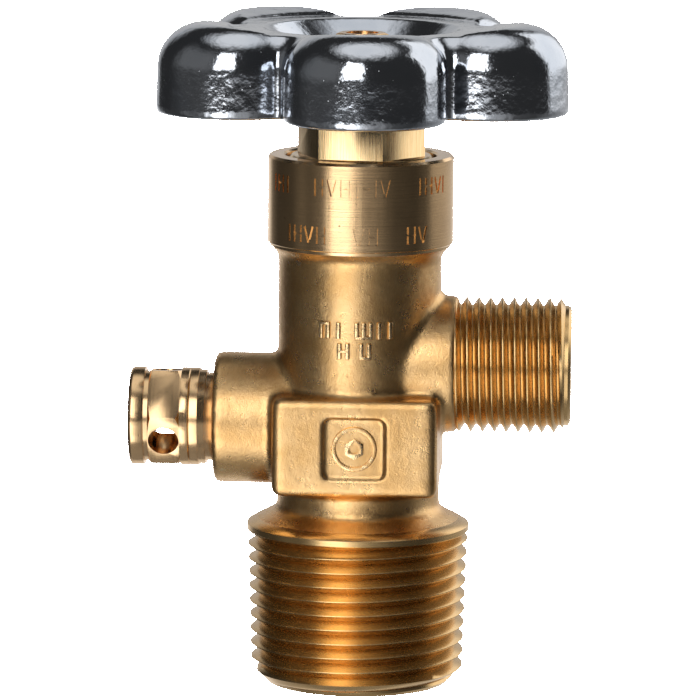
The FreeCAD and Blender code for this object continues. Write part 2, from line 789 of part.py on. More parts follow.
def rupture_stack():
    """The gasket, the rupture disc and its slip ring, stacked on the socket's floor."""
    floor = "-relief_socket_depth"
    bore = "vent_bore_radius"
    outer = "relief_socket_radius - free_gap"
    gasket_height = "(relief_socket_depth - plug_shank_length - disc_thickness - disc_ring_height)"
    disc_base = floor + " + " + gasket_height
    ring_base = disc_base + " + disc_thickness"
    gasket = ring("relief_gasket", bore, outer, floor, gasket_height)
    disc = turned("rupture_disc", rectangle("0", disc_base, outer, ring_base))
    slip = ring("disc_slip_ring", bore, outer, ring_base, "disc_ring_height")
    for piece in (gasket, disc, slip):
        on_relief_axis(piece)


# ---------------------------------------------------------------- build, check and write

valve_body()
bonnet()
bonnet_gasket()
upper_stem()
stem_seals()
stem_thrust_washer()
lower_spindle()
soft_seat()
handwheel()
wheel_fixings()
relief_plug()
rupture_stack()
doc.recompute()

NODES = [
    "valve_body", "bonnet", "bonnet_gasket",
    "upper_stem", "stem_thrust_washer", "backup_ring_lower", "stem_o_ring", "backup_ring_upper",
    "lower_spindle", "seat_insert", "seat_retainer",
    "handwheel", "spring_seat_washer", "handwheel_spring", "handwheel_washer", "handwheel_nut",
    "relief_plug", "relief_gasket", "rupture_disc", "disc_slip_ring",
]

for item in doc.Objects:
    if "Invalid" in item.State or "Error" in item.State:
        raise ValueError("%s failed: %s" % (item.Name, item.State))

os.makedirs("parts", exist_ok=True)
for node in NODES:
    shape = doc.getObjectsByLabel(node)[0].Shape
    if shape.isNull() or not shape.isValid():
        raise ValueError(node + " has no valid shape")
    print("%-20s solids %d  volume %9.2f  z %7.2f to %7.2f" % (
        node, len(shape.Solids), shape.Volume, shape.BoundBox.ZMin, shape.BoundBox.ZMax))
    shape.exportStep("parts/%s.step" % node)
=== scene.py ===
import json
import math

import bpy
from mathutils import Matrix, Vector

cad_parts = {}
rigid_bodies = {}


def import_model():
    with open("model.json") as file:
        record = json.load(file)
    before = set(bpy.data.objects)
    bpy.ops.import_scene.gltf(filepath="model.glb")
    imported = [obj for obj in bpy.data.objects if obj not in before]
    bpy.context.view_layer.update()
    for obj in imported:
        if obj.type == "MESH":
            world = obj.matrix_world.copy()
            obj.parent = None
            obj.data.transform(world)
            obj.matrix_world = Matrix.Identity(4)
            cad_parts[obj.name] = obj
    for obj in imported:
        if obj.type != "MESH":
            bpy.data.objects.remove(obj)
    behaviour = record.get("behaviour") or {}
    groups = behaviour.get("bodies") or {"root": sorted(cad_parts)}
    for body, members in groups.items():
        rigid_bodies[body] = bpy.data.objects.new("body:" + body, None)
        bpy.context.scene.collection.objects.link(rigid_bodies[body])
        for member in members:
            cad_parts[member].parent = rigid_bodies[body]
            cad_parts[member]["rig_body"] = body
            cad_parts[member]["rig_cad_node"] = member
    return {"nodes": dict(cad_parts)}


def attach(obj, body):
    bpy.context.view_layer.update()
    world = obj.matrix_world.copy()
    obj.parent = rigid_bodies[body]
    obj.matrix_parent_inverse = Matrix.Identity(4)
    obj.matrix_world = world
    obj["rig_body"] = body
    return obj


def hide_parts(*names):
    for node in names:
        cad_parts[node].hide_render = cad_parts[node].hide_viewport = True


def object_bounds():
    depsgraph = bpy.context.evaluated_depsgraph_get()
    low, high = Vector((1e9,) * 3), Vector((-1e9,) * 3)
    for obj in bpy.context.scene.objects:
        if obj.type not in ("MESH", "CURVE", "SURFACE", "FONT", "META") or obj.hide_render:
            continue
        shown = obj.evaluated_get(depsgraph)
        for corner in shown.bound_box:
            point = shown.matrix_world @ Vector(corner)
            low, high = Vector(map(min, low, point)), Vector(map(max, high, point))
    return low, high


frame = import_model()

packed_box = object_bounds()
bpy.ops.object.select_all(action="DESELECT")
mm = 0.001


# ---- Forged body ---------------------------------------------------------------------------
# The valve's body is a hot brass forging, shot-blasted and left as it comes out of the die:
# a round neck, a square block for the wrench, and two round bosses, all run together softly.
# It is bored from both ends, and every other piece is screwed or pressed into it.

forging_grid = 0.42 * mm
forging_fine_grid = 0.34 * mm
forging_melt = 16
neck_radius = 12.55 * mm
collar_base = 68.5 * mm
collar_radius = 14.28 * mm
land_top = 24.8 * mm
slope_top = 27.2 * mm
block_base = 30.7 * mm
block_top = 45.9 * mm
block_half_width = 12.65 * mm
block_half_depth = 14.0 * mm
outlet_height = 49.6 * mm
outlet_boss_radius = 10.55 * mm
outlet_boss_end = 15.4 * mm
relief_height = 40.75 * mm
relief_boss_radius = 10.1 * mm
relief_boss_end = 22.2 * mm


def edit(piece):
    """Makes the piece the only one selected and opens it for editing."""
    bpy.ops.object.select_all(action="DESELECT")
    piece.select_set(True)
    bpy.context.view_layer.objects.active = piece
    bpy.ops.object.mode_set(mode="EDIT")
    bpy.ops.mesh.select_mode(type="VERT")
    bpy.ops.mesh.select_all(action="SELECT")


def close_edit():
    """Goes back to whole pieces."""
    bpy.ops.object.mode_set(mode="OBJECT")


def settle(piece):
    """Puts the piece's place, turn and scale into its mesh."""
    bpy.ops.object.select_all(action="DESELECT")
    piece.select_set(True)
    bpy.context.view_layer.objects.active = piece
    bpy.ops.object.transform_apply(location=True, rotation=True, scale=True)


def face_out(piece):
    """Merges doubles and points every face outwards."""
    edit(piece)
    bpy.ops.mesh.remove_doubles(threshold=0.0005 * mm)
    bpy.ops.mesh.normals_make_consistent(inside=False)
    close_edit()


def modify(piece, kind, **settings):
    """Adds a modifier, sets it and applies it."""
    bpy.ops.object.select_all(action="DESELECT")
    piece.select_set(True)
    bpy.context.view_layer.objects.active = piece
    modifier = piece.modifiers.new(kind.lower(), kind)
    for name, setting in settings.items():
        setattr(modifier, name, setting)
    bpy.ops.object.modifier_apply(modifier=modifier.name)


def combine(piece, tool, operation="DIFFERENCE"):
    """Cuts or adds a tool piece, which is then thrown away."""
    modify(piece, "BOOLEAN", operation=operation, solver="MANIFOLD", object=tool)
    bpy.data.objects.remove(tool)


def join(pieces, name):
    """Makes one piece of several."""
    bpy.ops.object.select_all(action="DESELECT")
    for piece in pieces:
        piece.select_set(True)
    bpy.context.view_layer.objects.active = pieces[0]
    bpy.ops.object.join()
    pieces[0].name = name
    return pieces[0]


def rod(name, radius, start, end, axis="Z", offset=0.0, sides=128):
    """A round bar from start to end along Z, or along X at a height."""
    middle = (start + end) / 2
    place = (0, 0, middle) if axis == "Z" else (middle, 0, offset)
    tilt = (0, 0, 0) if axis == "Z" else (0, math.pi / 2, 0)
    bpy.ops.mesh.primitive_cylinder_add(
        vertices=sides, radius=radius, depth=abs(end - start), location=place, rotation=tilt)
    piece = bpy.context.object
    piece.name = name
    settle(piece)
    return piece


def drawn_line(name, points):
    """A run of edges through (x, z) points, extruded point by point."""
    x, z = points[0]
    bpy.ops.mesh.primitive_plane_add(size=mm, location=(x, 0, z))
    piece = bpy.context.object
    piece.name = name
    settle(piece)
    edit(piece)
    bpy.ops.mesh.merge(type="CENTER")
    for next_x, next_z in points[1:]:
        bpy.ops.mesh.extrude_vertices_move(
            TRANSFORM_OT_translate={"value": (next_x - x, 0, next_z - z)})
        x, z = next_x, next_z
    close_edit()
    return piece


def turned(name, outline, steps=128):
    """A piece turned about Z from a closed (radius, height) outline."""
    piece = drawn_line(name, outline + outline[:1])
    edit(piece)
    bpy.ops.mesh.spin(steps=steps, angle=2 * math.pi, center=(0, 0, 0), axis=(0, 0, 1))
    close_edit()
    face_out(piece)
    return piece


def soft_edges(piece, width, angle=30, segments=2):
    """Breaks the sharp edges and shades the rest smooth."""
    if width:
        modify(piece, "BEVEL", width=width, segments=segments, limit_method="ANGLE",
               angle_limit=math.radians(angle), use_clamp_overlap=True)
    bpy.ops.object.select_all(action="DESELECT")
    piece.select_set(True)
    bpy.context.view_layer.objects.active = piece
    bpy.ops.object.shade_smooth_by_angle(angle=math.radians(angle))


class Shade:
    """A socket of a material's nodes that takes part in sums like a number."""

    def __init__(self, tree, socket=None):
        self.tree = tree
        self.socket = socket

    def node(self, kind, settings=None, sockets=None, output=0):
        """Adds a node: its type, its settings, and the values or links of its sockets."""
        node = self.tree.nodes.new(kind)
        for name, setting in (settings or {}).items():
            if name == "stops":
                for index, (position, colour) in enumerate(setting):
                    stops = node.color_ramp.elements
                    stop = stops[index] if index < 2 else stops.new(position)
                    stop.position = position
                    stop.color = colour
            else:
                setattr(node, name, setting)
        for name, put in (sockets or {}).items():
            if isinstance(put, Shade):
                self.tree.links.new(put.socket, node.inputs[name])
            else:
                node.inputs[name].default_value = put
        return Shade(self.tree, node.outputs[output] if node.outputs else None)

    def maths(self, operation, first, second=0.0, third=0.0):
        """One Math node."""
        return self.node("ShaderNodeMath", {"operation": operation},
                         {0: first, 1: second, 2: third})

    def __add__(self, other):
        return self.maths("ADD", self, other)

    def __radd__(self, other):
        return self.maths("ADD", other, self)

    def __sub__(self, other):
        return self.maths("SUBTRACT", self, other)

    def __rsub__(self, other):
        return self.maths("SUBTRACT", other, self)

    def __mul__(self, other):
        return self.maths("MULTIPLY", self, other)

    def __rmul__(self, other):
        return self.maths("MULTIPLY", other, self)

    def __truediv__(self, other):
        return self.maths("DIVIDE", self, other)

    def over(self, low, high):
        """0 below low and 1 above high, with a soft step between."""
        return self.node("ShaderNodeMapRange", {"interpolation_type": "SMOOTHSTEP"},
                         {"Value": self, "From Min": low, "From Max": high})

    def blend(self, first, second):
        """first where this is 0, second where it is 1, as colours."""
        return self.node("ShaderNodeMix", {"data_type": "RGBA"}, {0: self, 6: first, 7: second},
                         output=2)


def material_start(name):
    """A new material with only a metal or plastic shader, and the piece's own coordinates."""
    material = bpy.data.materials.new(name)
    material.use_nodes = True
    shade = Shade(material.node_tree)
    place = shade.node("ShaderNodeTexCoord", output="Object")
    return material, shade, place


def material_end(material, colour, roughness, height, strength, metallic=1.0, depth=0.05 * mm):
    """Feeds the shader with a colour, a roughness and a bump height."""
    principled = material.node_tree.nodes["Principled BSDF"]
    shade = Shade(material.node_tree)
    normal = shade.node("ShaderNodeBump", sockets={
        "Strength": strength, "Distance": depth, "Height": height})
    principled.inputs["Metallic"].default_value = metallic
    for socket, put in (("Base Color", colour), ("Roughness", roughness), ("Normal", normal)):
        if isinstance(put, Shade):
            material.node_tree.links.new(put.socket, principled.inputs[socket])
        else:
            principled.inputs[socket].default_value = put
    return material


def grain(shade, place, size, detail=3.0, seed=0.0, stretch=(1, 1, 1), rough=0.55):
    """Noise whose lumps are about size across, stretched by factors along the axes."""
    vector = shade.node("ShaderNodeMapping", sockets={
        "Vector": place, "Location": (seed, seed * 0.7, seed * 1.3),
        "Scale": tuple(factor / size for factor in stretch)})
    return shade.node("ShaderNodeTexNoise", sockets={
        "Vector": vector, "Scale": 1.0, "Detail": detail, "Roughness": rough})


def pits(shade, place, size, share, seed=0.0):
    """1 in round spots, one here and there in cells of a size, else 0."""
    vector = shade.node("ShaderNodeMapping", sockets={
        "Vector": place, "Location": (seed, seed, seed), "Scale": (1 / size,) * 3})
    near = shade.node("ShaderNodeTexVoronoi", sockets={"Vector": vector, "Scale": 1.0})
    return 1 - near.over(share * 0.4, share)


def forged_brass():
    """Blasted forging: fine sparkle, soft lumps, scattered pits, painted shade in the hollows and
    a painted highlight on the edges.
    """
    material, shade, place = material_start("forged_brass")
    sparkle = grain(shade, place, 0.22 * mm, 3.0)
    lumps = grain(shade, place, 1.3 * mm, 4.0, 3.0)
    clouds = grain(shade, place, 7.0 * mm, 4.0, 9.0)
    spots = pits(shade, place, 0.8 * mm, 0.10, 5.0)
    edge = shade.node("ShaderNodeNewGeometry", output="Pointiness")
    # Painted shade: the hollows, found from the surface's pointiness, are darkened towards brown.
    painted_hollow_shade = 1 - edge.over(0.40, 0.50)
    # The sharpest edges are lightened in colour, a painted highlight, and made a little smoother,
    # as rubbing would.
    wear_and_painted_highlight = edge.over(0.52, 0.60)
    colour = clouds.over(0.35, 0.7).blend((0.86, 0.56, 0.26, 1), (0.72, 0.43, 0.17, 1))
    colour = (spots * 0.35).blend(colour, (0.40, 0.24, 0.12, 1))
    colour = (painted_hollow_shade * 0.55).blend(colour, (0.38, 0.20, 0.08, 1))
    colour = (wear_and_painted_highlight * 0.5).blend(colour, (0.97, 0.76, 0.46, 1))
    roughness = 0.30 + (lumps - 0.5) * 0.18 + (clouds - 0.5) * 0.12 - wear_and_painted_highlight * 0.08
    height = sparkle * 0.9 + lumps * 1.1 - spots * 0.3
    return material_end(material, colour, roughness, height, 0.55, depth=0.09 * mm)


forged_finish = forged_brass()


def wear(piece, finish):
    """Gives the piece one finish all over."""
    piece.data.materials.clear()
    piece.data.materials.append(finish)


def is_part(piece, body, finish, slot, *nodes):
    """The piece's finish, the body it moves with, and the CAD nodes it stands for; slot is not
    used.
    """
    wear(piece, finish)
    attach(piece, body)
    if nodes:
        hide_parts(*nodes)


def box(name, low, high):
    """A block between two corners."""
    centre = [(a + b) / 2 for a, b in zip(low, high)]
    bpy.ops.mesh.primitive_cube_add(size=1, location=centre)
    piece = bpy.context.object
    piece.name = name
    piece.scale = [b - a for a, b in zip(low, high)]
    settle(piece)
    return piece


neck = turned("neck", [
    (0, land_top - 0.7 * mm), (16.9 * mm, land_top - 0.7 * mm), (17.0 * mm, land_top),
    (neck_radius, slope_top), (neck_radius, collar_base - 1.9 * mm),
    (14.12 * mm, collar_base - 0.3 * mm), (14.12 * mm, collar_base + 1.6 * mm),
    (0, collar_base + 1.6 * mm)])
block = box("block", (-block_half_width, -block_half_depth, block_base),
            (block_half_width, block_half_depth, block_top))
modify(block, "BEVEL", width=1.1 * mm, segments=3)
outlet_boss = rod("outlet_boss", outlet_boss_radius, 0, outlet_boss_end, "X", outlet_height)
relief_boss = rod("relief_boss", relief_boss_radius, -relief_boss_end, 0, "X", relief_height)
forging = join([neck, block, outlet_boss, relief_boss], "valve_forging")
modify(forging, "REMESH", mode="VOXEL", voxel_size=forging_grid)
modify(forging, "SMOOTH", factor=0.5, iterations=forging_melt)

stem_passage = turned("stem_passage", [
    (0, 46.2 * mm), (7.8 * mm, 46.2 * mm), (7.8 * mm, 72 * mm), (0, 72 * mm)], 96)
inlet_passage = turned("inlet_passage", [
    (0, 20 * mm), (4.5 * mm, 20 * mm), (4.5 * mm, 43 * mm), (2.6 * mm, 44 * mm),
    (2.6 * mm, 47 * mm), (0, 47 * mm)], 96)
outlet_passage = rod("outlet_passage", 3.2 * mm, 6.4 * mm, 20 * mm, "X", outlet_height)
relief_socket = rod("relief_socket", 5.4 * mm, -25 * mm, -14 * mm, "X", relief_height)
relief_port = rod("relief_port", 2.0 * mm, -16 * mm, -2 * mm, "X", relief_height)
for passage in (inlet_passage, outlet_passage, relief_socket, relief_port):
    combine(stem_passage, passage, "UNION")
combine(forging, stem_passage)

panel_half = 4.85 * mm
panel_height = (block_base + block_top) / 2
bpy.ops.mesh.primitive_plane_add(size=2 * panel_half, rotation=(math.pi / 2, 0, 0), location=(
    0, -block_half_depth + 0.55 * mm, panel_height))
panel = bpy.context.object
settle(panel)
edit(panel)
bpy.ops.mesh.bevel(affect="VERTICES", offset=1.3 * mm, segments=6)
bpy.ops.mesh.extrude_region_move(TRANSFORM_OT_translate={"value": (0, -2 * mm, 0)})
close_edit()
face_out(panel)
combine(forging, panel)
modify(forging, "REMESH", mode="VOXEL", voxel_size=forging_fine_grid)
modify(forging, "SMOOTH", factor=0.5, iterations=2)
soft_edges(forging, 0, 60)
is_part(forging, "valve", forged_finish, "forged_brass", "valve_body")


# ---- Raised marks of the forging -----------------------------------------------------------
# The die leaves a small raised badge in the block's panel and two rows of raised tally bars
# on the neck. They are part of the same brass, a little brighter at their edges, where it paints a
# highlight and makes them smoother as if rubbed.

tally_rise = 0.42 * mm
tally_bars = [(-5.2, 2), (-2.6, 1), (0.2, 3), (3.6, 1), (5.2, 1)]


def bar_on_neck(x, low, high, width):
    """A raised bar that stands on the neck at a distance x from its middle."""
    turn = math.asin(x / neck_radius)
    piece = box("bar", (-width / 2, -neck_radius - tally_rise, low),
                (width / 2, -neck_radius + 0.7 * mm, high))
    piece.data.transform(Matrix.Rotation(turn, 4, "Z"))
    return piece


bars = []
for left, count in tally_bars:
    for index in range(count):
        place_x = (left + 1.05 * index) * mm
        bars.append(bar_on_neck(place_x, 55.0 * mm, 57.6 * mm, 0.7 * mm))
for left in (-2.4, -1.2, 0.9, 2.1):
    bars.append(bar_on_neck(left * mm, 51.9 * mm, 54.4 * mm, 0.7 * mm))
bars.append(bar_on_neck(-1.8 * mm, 52.9 * mm, 53.4 * mm, 1.7 * mm))
bars.append(bar_on_neck(1.5 * mm, 51.9 * mm, 52.4 * mm, 1.7 * mm))
bars.append(bar_on_neck(-4.7 * mm, 57.1 * mm, 57.6 * mm, 1.5 * mm))
bars.append(bar_on_neck(1.25 * mm, 55.0 * mm, 55.5 * mm, 2.6 * mm))
for piece in bars:
    modify(piece, "BEVEL", width=0.14 * mm, segments=2)
tally = join(bars, "raised_tally")
soft_edges(tally, 0, 50)
is_part(tally, "valve", forged_finish, "forged_brass")

badge_back = -block_half_depth + 0.62 * mm
badge_ring = turned("badge_ring", [
    (2.75 * mm, 0), (2.85 * mm, 0.45 * mm), (3.35 * mm, 0.45 * mm), (3.5 * mm, 0)], 72)
bpy.ops.mesh.primitive_cylinder_add(vertices=6, radius=1.6 * mm, depth=0.5 * mm,
                                    location=(0, 0, 0.18 * mm))
badge_nut = bpy.context.object
settle(badge_nut)
hole = rod("hole", 0.75 * mm, -mm, mm, sides=32)
combine(badge_nut, hole)
badge = join([badge_ring, badge_nut], "raised_badge")
badge.data.transform(Matrix.Translation((0, badge_back, panel_height)) @ Matrix.Rotation(
    math.pi / 2, 4, "X"))
face_out(badge)
soft_edges(badge, 0.1 * mm, 35)
is_part(badge, "valve", forged_finish, "forged_brass")


# ---- Machined collar -----------------------------------------------------------------------
# The top of the body is turned to a bright collar with a counterbore for the bonnet's flange.
# Two rows of marks are punched into its side. Its finish has fine lines from the turning tool.

collar_top = 81.9 * mm
collar_steps = 192


def turned_brass(name, axis, roughness=0.17, deep=1.0, dull=0.0, colour=(0.86, 0.58, 0.31, 1)):
    """Brass turned about an axis: tool lines round it, faint stains and a few nicks."""
    material, shade, place = material_start(name)
    along = {"Z": (0.02, 0.02, 1), "X": (1, 0.02, 0.02)}[axis]
    fine = grain(shade, place, 0.05 * mm, 2.0, 1.0, along)
    lines = grain(shade, place, 0.22 * mm, 3.0, 4.0, along)
    clouds = grain(shade, place, 5.0 * mm, 4.0, 7.0)
    speckle = grain(shade, place, 0.35 * mm, 4.0, 2.0)
    nicks = pits(shade, place, 2.6 * mm, 0.07, 6.0)
    tint = clouds.over(0.35, 0.75).blend(colour, tuple(part * 0.88 for part in colour[:3]) + (1,))
    tint = (nicks * 0.6).blend(tint, (0.30, 0.17, 0.07, 1))
    tint = (speckle.over(0.58, 0.72) * (0.25 + dull)).blend(tint, (0.55, 0.33, 0.14, 1))
    rough = roughness + (lines - 0.5) * 0.12 + (clouds - 0.5) * 0.08 + dull * 0.2
    height = fine * 0.35 + lines * 1.0 - nicks * 1.5 + speckle * 0.3 * (0.4 + dull)
    return material_end(material, tint, rough, height, 0.22 * deep, depth=0.03 * mm)


collar_finish = turned_brass("turned_brass_collar", "Z")
collar = turned("machined_collar", [
    (9.5 * mm, collar_base - 0.6 * mm), (13.9 * mm, collar_base - 0.6 * mm),
    (13.95 * mm, collar_base - 0.12 * mm), (collar_radius - 0.1 * mm, collar_base - 0.1 * mm),
    (collar_radius, collar_base), (collar_radius, collar_top - 0.4 * mm),
    (collar_radius - 0.35 * mm, collar_top), (11.9 * mm, collar_top),
    (11.6 * mm, collar_top - 0.3 * mm), (11.6 * mm, 79.0 * mm), (9.5 * mm, 79.0 * mm)],
    collar_steps)

punch_depth = 0.28 * mm
punch_height = 2.6 * mm
punch_width = 0.36 * mm
punch_lean = 0.26
upper_row = 78.2 * mm
lower_row = 70.9 * mm
bar_half = 0.16 * mm
mark_gap = 4.4
wide_mark = 5.2
narrow_mark = 3.2
dash_mark = 2.0


def punch(turn_degrees, low, high, width, lean=0.0):
    """A blunt chisel set into the collar's side at a turn from the front."""
    piece = box("punch", (-width / 2, -collar_radius - mm, low - (low + high) / 2),
                (width / 2, -collar_radius + punch_depth, high - (low + high) / 2))
    piece.data.transform(Matrix.Rotation(lean, 4, "Y"))
    piece.data.transform(Matrix.Translation((0, 0, (low + high) / 2)))
    piece.data.transform(Matrix.Rotation(math.radians(turn_degrees), 4, "Z"))
    return piece


def punched_row(height, tall, groups, width):
    """Groups of upright, crossed and leaning strokes in a row round the collar."""
    strokes = []
    for start, kinds in groups:
        turn_degrees = start
        for kind in kinds:
            low = height - tall / 2
            high = height + tall / 2
            if kind in "IH":
                strokes.append(punch(turn_degrees, low, high, width))
            if kind == "H":
                strokes.append(punch(turn_degrees + wide_mark, low, high, width))
                strokes.append(punch(turn_degrees + wide_mark / 2, height - bar_half,
                                     height + bar_half, 1.3 * mm))
                turn_degrees += wide_mark
            if kind == "V":
                strokes.append(punch(turn_degrees, low, high, width, -punch_lean))
                strokes.append(punch(turn_degrees + narrow_mark, low, high, width, punch_lean))
                turn_degrees += narrow_mark
            if kind == "-":
                strokes.append(punch(turn_degrees + dash_mark / 2, height - bar_half,
                                     height + bar_half, 1.0 * mm))
                turn_degrees += dash_mark
            turn_degrees += mark_gap
    return strokes


punches = punched_row(upper_row, punch_height, [
    (-62, "IHI"), (-26, "HVHI-IV"), (42, "IHVI")], punch_width)
punches += punched_row(lower_row, punch_height, [
    (-46, "IHVH"), (0, "VH"), (33, "HV")], punch_width)
punch_set = punches[0]
for tool in punches[1:]:
    combine(punch_set, tool, "UNION")
combine(collar, punch_set)
soft_edges(collar, 0, 28)
is_part(collar, "valve", collar_finish, "forged_brass")


# ---- Inlet thread --------------------------------------------------------------------------
# The foot of the body is cut with a tapered gas thread, right-handed, 11.5 turns to the inch,
# under a narrow turned land. The cylinder's neck takes it, and the inlet bore runs up through it.

inlet_pitch = 2.2087 * mm
inlet_depth = 1.767 * mm
inlet_crest_radius = 16.3 * mm
inlet_slope = math.tan(math.radians(1.7899))
inlet_first_crest = 0.318 * mm
shoulder_base = 23.7 * mm
shoulder_radius = 17.15 * mm
cone_radius = 15.6 * mm
cone_top = land_top + 0.8 * mm
thread_steps = 128
cut_nearness = 0.0002 * mm


def thread_line(crest_radius, depth, pitch, flat):
    """One pitch of a thread's section, from the middle of a root to the next."""
    half = flat / 2
    foot = half + depth * math.tan(math.radians(30))
    edge = 0.05 * mm
    return [
        (crest_radius - depth, -pitch / 2),
        (crest_radius - depth + edge, -min(foot, pitch / 2 - 0.02 * mm)),
        (crest_radius - depth * 0.55, -half - depth * 0.55 * math.tan(math.radians(30))),
        (crest_radius - edge, -half - edge * 0.4), (crest_radius, -half + edge * 0.4),
        (crest_radius, half - edge * 0.4), (crest_radius - edge, half + edge * 0.4),
        (crest_radius - depth * 0.55, half + depth * 0.55 * math.tan(math.radians(30))),
        (crest_radius - depth + edge, min(foot, pitch / 2 - 0.02 * mm)),
        (crest_radius - depth, pitch / 2)]


def select_at_height(piece, height):
    """Leaves only the points at a height selected, in edit mode."""
    close_edit()
    for corner in piece.data.vertices:
        corner.select = abs(corner.co.z - height) < 0.001 * mm
    for side in piece.data.edges:
        side.select = all(piece.data.vertices[index].select for index in side.vertices)
    for face in piece.data.polygons:
        face.select = False
    bpy.ops.object.mode_set(mode="EDIT")


def pull_ring(piece, radius, height):
    """Extrudes the selected loop to a circle of a radius at a height."""
    bpy.ops.mesh.extrude_edges_move(TRANSFORM_OT_translate={"value": (0, 0, 0)})
    close_edit()
    for corner in piece.data.vertices:
        if corner.select:
            reach = math.hypot(corner.co.x, corner.co.y)
            corner.co = (corner.co.x * radius / reach, corner.co.y * radius / reach, height)
    bpy.ops.object.mode_set(mode="EDIT")


def helix(name, line, pitch, low, high, first_crest, crest_at):
    """A thread's skin between two heights, with a crest at first_crest above the turn crest_at."""
    turns = math.ceil((high - low) / pitch) + 3
    piece = drawn_line(name, line)
    modify(piece, "SCREW", axis="Z", screw_offset=pitch, steps=thread_steps,
           render_steps=thread_steps, iterations=turns, use_merge_vertices=True,
           merge_threshold=0.001 * mm, use_smooth_shade=True)
    skin_low = math.floor((first_crest - low) / pitch + 2)
    piece.data.transform(Matrix.Rotation(crest_at, 4, "Z"))
    piece.data.transform(Matrix.Translation((0, 0, first_crest - skin_low * pitch)))
    return piece


def trim(piece, low, high):
    """Cuts a skin off square at two heights."""
    edit(piece)
    bpy.ops.mesh.remove_doubles(threshold=0.0005 * mm)
    bpy.ops.mesh.bisect(plane_co=(0, 0, low), plane_no=(0, 0, 1), clear_inner=True,
                        threshold=cut_nearness)
    bpy.ops.mesh.select_all(action="SELECT")
    bpy.ops.mesh.bisect(plane_co=(0, 0, high), plane_no=(0, 0, 1), clear_outer=True,
                        threshold=cut_nearness)


inlet = helix("inlet_thread",
              thread_line(inlet_crest_radius, inlet_depth, inlet_pitch, 0.14 * mm),
              inlet_pitch, 0, shoulder_base, inlet_first_crest, 0)
trim(inlet, 0, shoulder_base)
close_edit()
for corner in inlet.data.vertices:
    reach = math.hypot(corner.co.x, corner.co.y)
    wanted = min(reach + corner.co.z * inlet_slope, 14.0 * mm + corner.co.z)
    corner.co.x *= wanted / reach
    corner.co.y *= wanted / reach
edit(inlet)
select_at_height(inlet, 0)
pull_ring(inlet, 5.3 * mm, 0)
pull_ring(inlet, 4.5 * mm, 0.8 * mm)
select_at_height(inlet, shoulder_base)
pull_ring(inlet, shoulder_radius - 0.12 * mm, shoulder_base)
pull_ring(inlet, shoulder_radius, shoulder_base + 0.12 * mm)
pull_ring(inlet, shoulder_radius, land_top - 0.15 * mm)
pull_ring(inlet, shoulder_radius - 0.15 * mm, land_top)
pull_ring(inlet, cone_radius, cone_top)
pull_ring(inlet, 4.5 * mm, cone_top)
bpy.ops.mesh.select_all(action="DESELECT")
bpy.ops.mesh.select_non_manifold()
bpy.ops.mesh.bridge_edge_loops()
close_edit()
face_out(inlet)
soft_edges(inlet, 0, 35)
thread_finish = turned_brass("turned_brass_thread", "Z", 0.26, 0.8, colour=(0.80, 0.53, 0.24, 1))
is_part(inlet, "valve", thread_finish, "forged_brass")


# ---- Outlet thread -------------------------------------------------------------------------
# The side outlet is cut with a straight right-handed thread, 14 turns to the inch, with a short
# plain nose at its end. The regulator's nut screws on it and seals on the nose's face.

outlet_pitch = 1.8143 * mm
outlet_depth = 1.18 * mm
outlet_crest_radius = 10.43 * mm
outlet_last_crest = 31.0 * mm
outlet_end = 32.6 * mm
outlet_root = outlet_crest_radius - outlet_depth
outlet_start = outlet_boss_end - 0.6 * mm
nose_start = outlet_end - 0.95 * mm


def lay_on_x(piece, height):
    """Lays a piece that stands on Z along X, at a height."""
    turn_over = Matrix.Translation((0, 0, height)) @ Matrix.Rotation(math.pi / 2, 4, "Y")
    piece.data.transform(turn_over)


outlet = helix("outlet_thread",
               thread_line(outlet_crest_radius, outlet_depth, outlet_pitch, 0.2 * mm),
               outlet_pitch, outlet_start, nose_start, outlet_last_crest - 8 * outlet_pitch,
               math.pi)
trim(outlet, outlet_start, nose_start)
close_edit()
for corner in outlet.data.vertices:
    reach = math.hypot(corner.co.x, corner.co.y)
    wanted = min(reach, outlet_root + 0.1 * mm + (nose_start - corner.co.z) * 1.4)
    corner.co.x *= wanted / reach
    corner.co.y *= wanted / reach
edit(outlet)
select_at_height(outlet, outlet_start)
pull_ring(outlet, 3.2 * mm, outlet_start)
select_at_height(outlet, nose_start)
pull_ring(outlet, outlet_root, nose_start)
pull_ring(outlet, outlet_root, outlet_end - 0.4 * mm)
pull_ring(outlet, outlet_root - 0.4 * mm, outlet_end)
pull_ring(outlet, 4.0 * mm, outlet_end)
pull_ring(outlet, 3.2 * mm, outlet_end - 0.8 * mm)
bpy.ops.mesh.select_all(action="DESELECT")
bpy.ops.mesh.select_non_manifold()
bpy.ops.mesh.bridge_edge_loops()
close_edit()
lay_on_x(outlet, outlet_height)
face_out(outlet)
soft_edges(outlet, 0, 35)
outlet_finish = turned_brass("turned_brass_outlet", "X", 0.26, 0.8, colour=(0.80, 0.53, 0.24, 1))
is_part(outlet, "valve", outlet_finish, "forged_brass")


# ---- Spindle, soft seat and stem -----------------------------------------------------------
# Inside the neck a screwed brass spindle carries a nylon disc that shuts the orifice. The stem's
# tang turns it. These pieces are turned brass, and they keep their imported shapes.

spindle_finish = turned_brass("turned_brass_stem", "Z", 0.22)


def moulded(name, colour, shadow, roughness, lump=0.6 * mm, strength=0.12):
    """A moulded or cut plastic or rubber: faint clouds of colour and a soft skin."""
    material, shade, place = material_start(name)
    clouds = grain(shade, place, 3.0 * mm, 4.0, 2.0)
    skin = grain(shade, place, lump, 4.0, 5.0)
    fine = grain(shade, place, 0.08 * mm, 2.0, 8.0)
    tint = clouds.over(0.3, 0.75).blend(colour, shadow)
    rough = roughness + (skin - 0.5) * 0.15
    height = skin + fine * 0.3
    return material_end(material, tint, rough, height, strength, 0.0)


def refinish(finish, *names):
    """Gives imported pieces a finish."""
    for name in names:
        wear(frame["nodes"][name], finish)


